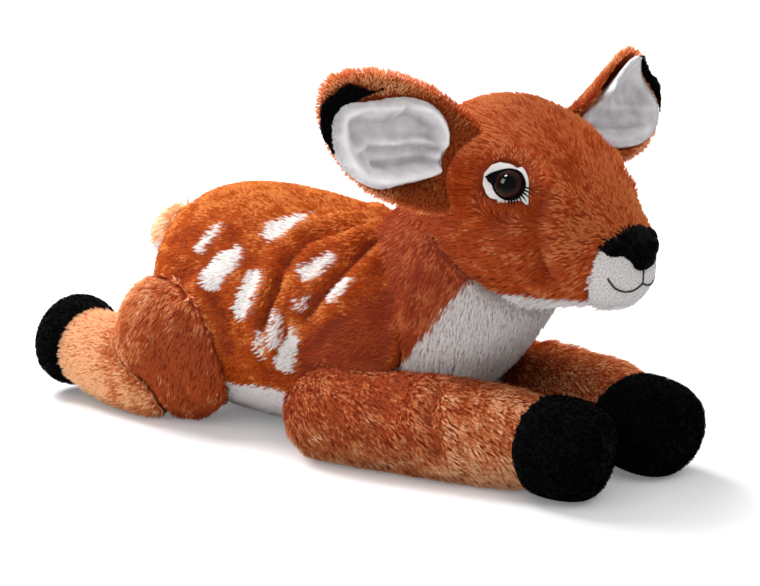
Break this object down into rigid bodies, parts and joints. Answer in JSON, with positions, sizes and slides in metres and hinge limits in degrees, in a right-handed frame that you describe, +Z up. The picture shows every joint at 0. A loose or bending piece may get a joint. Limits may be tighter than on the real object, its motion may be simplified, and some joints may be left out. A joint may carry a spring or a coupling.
{
  "type": "plush deer",
  "caption": "Stuffed toy fawn lying on its belly with its legs stretched out; neck, head, ears, legs and tail bend at soft hinges.",
  "frame": {"origin": "middle of the flat patch that the belly rests on", "axes": "+X from the rump to the nose, +Y to the fawn's left, +Z up"},
  "size_m": [0.4521, 0.2884, 0.2541],
  "materials": {
    "spotted_plush": "orange brown pile fabric with white spots",
    "rust_plush": "rust brown pile fabric",
    "peach_plush": "paler peach brown pile fabric",
    "white_plush": "white pile fabric",
    "black_velvet": "black short pile fabric",
    "white_felt": "white felt",
    "black_felt": "black felt",
    "fibre_filling": "loose polyester filling",
    "eye_plastic": "glossy domed eye, brown with a black pupil",
    "washer_plastic": "plain moulded washer"
  },
  "bodies": {
    "torso": {"back_panel": "spotted_plush", "belly_panel": "white_plush", "body_stuffing": "fibre_filling"},
    "neck": {"neck_panel": "rust_plush", "bib_panel": "white_plush", "neck_stuffing": "fibre_filling"},
    "head": {"head_panel": "rust_plush", "jaw_panel": "white_plush", "muzzle_panel": "white_plush", "head_stuffing": "fibre_filling", "nose": "black_velvet", "eye_patch_left": "white_felt", "eye_patch_right": "white_felt", "eye_liner_left": "black_felt", "eye_liner_right": "black_felt", "eye_left": "eye_plastic", "eye_right": "eye_plastic", "eye_washer_left": "washer_plastic", "eye_washer_right": "washer_plastic"},
    "ear_left": {"ear_back_left": "rust_plush", "ear_lining_left": "white_plush", "ear_tip_left": "black_velvet"},
    "ear_right": {"ear_back_right": "rust_plush", "ear_lining_right": "white_plush", "ear_tip_right": "black_velvet"},
    "front_leg_left": {"front_leg_left": "rust_plush", "front_hoof_left": "black_velvet"},
    "front_leg_right": {"front_leg_right": "rust_plush", "front_hoof_right": "black_velvet"},
    "hind_leg_left": {"thigh_left": "rust_plush", "hind_leg_left": "peach_plush", "hind_hoof_left": "black_velvet"},
    "hind_leg_right": {"thigh_right": "rust_plush", "hind_leg_right": "peach_plush", "hind_hoof_right": "black_velvet"},
    "tail": {"tail_top": "peach_plush", "tail_underside": "white_plush"}
  },
  "joints": [
    {"name": "neck_nod", "type": "hinge", "parent": "torso", "child": "neck", "pos_m": [0.05, 0, 0.085], "axis": [0, -1, 0], "range_deg": [-5, 14], "stiffness_Nm_per_rad": 3},
    {"name": "head_turn", "type": "hinge", "parent": "neck", "child": "head", "pos_m": [0.142, 0, 0.138], "axis": [0.6606, 0, 0.7507], "range_deg": [-20, 20], "stiffness_Nm_per_rad": 1},
    {"name": "ear_left_fold", "type": "hinge", "parent": "head", "child": "ear_left", "pos_m": [0.152, 0.05, 0.192], "axis": [0.4706, 0.242, -0.8485], "range_deg": [-20, 20], "stiffness_Nm_per_rad": 0.05},
    {"name": "ear_right_fold", "type": "hinge", "parent": "head", "child": "ear_right", "pos_m": [0.146, -0.05, 0.19], "axis": [0.1479, 0.4586, 0.8762], "range_deg": [-20, 20], "stiffness_Nm_per_rad": 0.05},
    {"name": "front_leg_left_spread", "type": "hinge", "parent": "torso", "child": "front_leg_left", "pos_m": [0.076, 0.06, 0], "axis": [0, 0, 1], "range_deg": [0, 30], "stiffness_Nm_per_rad": 0.3},
    {"name": "front_leg_right_spread", "type": "hinge", "parent": "torso", "child": "front_leg_right", "pos_m": [0.062, -0.06, 0], "axis": [0, 0, -1], "range_deg": [0, 30], "stiffness_Nm_per_rad": 0.3},
    {"name": "hind_leg_left_lift", "type": "hinge", "parent": "torso", "child": "hind_leg_left", "pos_m": [-0.062, 0.06, 0.049], "axis": [0, 1, 0], "range_deg": [0, 25], "stiffness_Nm_per_rad": 0.5},
    {"name": "hind_leg_right_lift", "type": "hinge", "parent": "torso", "child": "hind_leg_right", "pos_m": [-0.062, -0.06, 0.049], "axis": [0, 1, 0], "range_deg": [0, 25], "stiffness_Nm_per_rad": 0.5},
    {"name": "tail_lift", "type": "hinge", "parent": "torso", "child": "tail", "pos_m": [-0.098, 0, 0.112], "axis": [0, 1, 0], "range_deg": [-10, 30], "stiffness_Nm_per_rad": 0.05}
  ]
}
